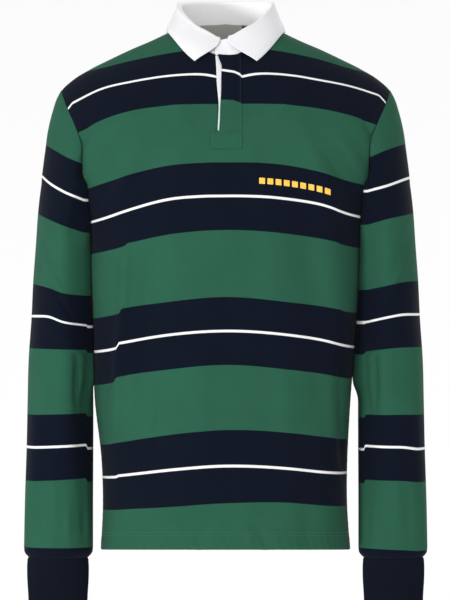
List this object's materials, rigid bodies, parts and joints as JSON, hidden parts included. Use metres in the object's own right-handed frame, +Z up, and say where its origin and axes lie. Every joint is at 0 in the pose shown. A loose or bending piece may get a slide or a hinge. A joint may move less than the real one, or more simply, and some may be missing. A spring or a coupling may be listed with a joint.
{
  "type": "long-sleeved polo shirt",
  "caption": "Long-sleeved rugby-style polo shirt in wide striped jersey, with a white collar, a half placket and ribbed cuffs, filled out as worn.",
  "frame": {"origin": "middle of the neck base, where the wearer's neck holds the shirt up", "axes": "+Z up along the wearer, -Y to the wearer's front, +X to the wearer's left"},
  "size_m": [0.5622, 0.2582, 0.8491],
  "materials": {
    "striped_jersey": "matte",
    "navy_rib": "matte",
    "white_twill": "matte",
    "grey_label": "satin"
  },
  "bodies": {
    "root": {"front_panel": "striped_jersey", "back_panel": "striped_jersey", "sleeve_left": "striped_jersey", "sleeve_right": "striped_jersey", "placket_flap": "striped_jersey", "cuff_left": "navy_rib", "cuff_right": "navy_rib", "collar_stand": "white_twill", "collar_fall": "white_twill", "placket_facing": "white_twill", "neck_label": "grey_label"}
  },
  "joints": []
}
